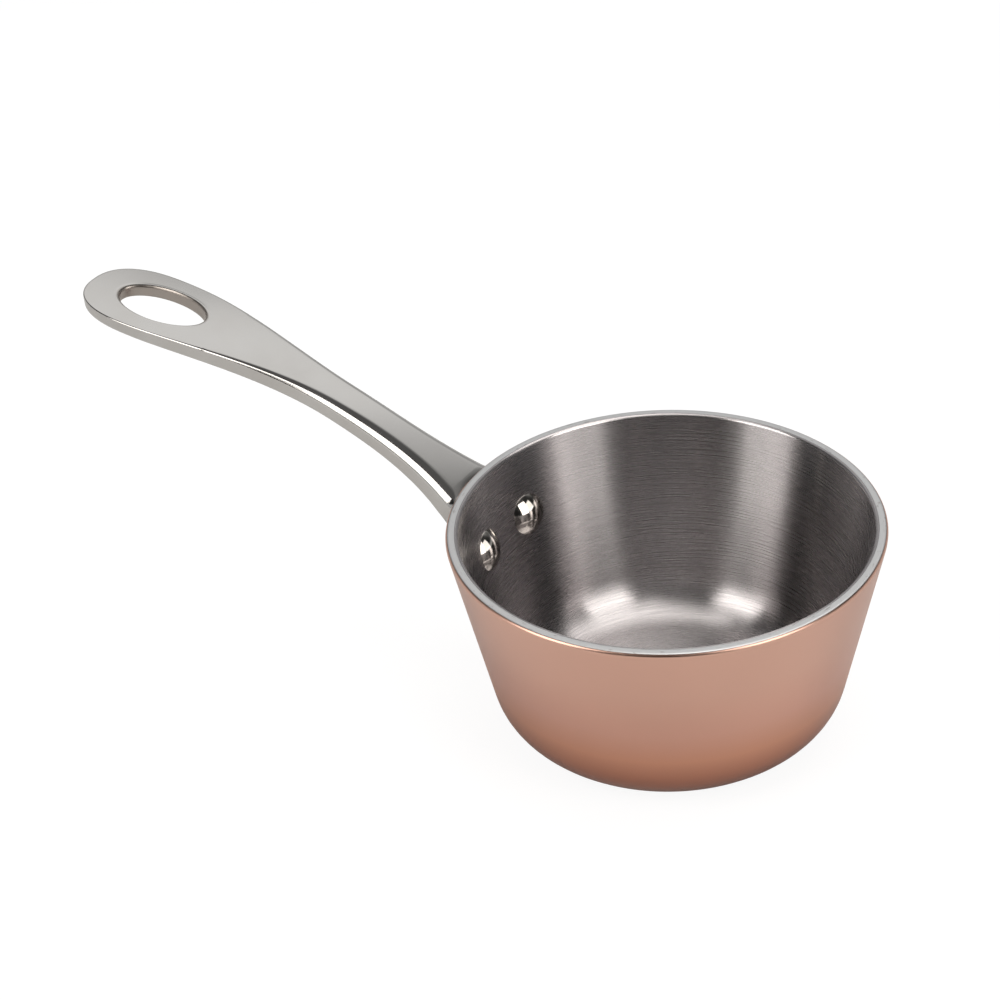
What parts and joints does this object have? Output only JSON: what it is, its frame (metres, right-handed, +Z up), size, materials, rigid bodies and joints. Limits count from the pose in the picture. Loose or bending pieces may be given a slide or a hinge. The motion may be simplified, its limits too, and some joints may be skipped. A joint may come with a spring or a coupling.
{
  "type": "saucepan",
  "caption": "Small tapered saucepan of clad copper and steel with a rounded foot and one long riveted handle with an oval hanging hole.",
  "frame": {"origin": "centre of the underside of the flat base, on the hob", "axes": "+Z up out of the pan, +X from the pan's axis along the handle"},
  "size_m": [0.1913, 0.09, 0.0661],
  "materials": {
    "copper": "satin polished copper",
    "core_aluminium": "cut edge",
    "liner_steel": "brushed round the axis",
    "cast_steel": "satin polished casting",
    "rivet_steel": "polished"
  },
  "bodies": {
    "root": {"copper_shell": "copper", "aluminium_core": "core_aluminium", "steel_liner": "liner_steel", "handle": "cast_steel", "rivet_left": "rivet_steel", "rivet_right": "rivet_steel"}
  },
  "joints": []
}
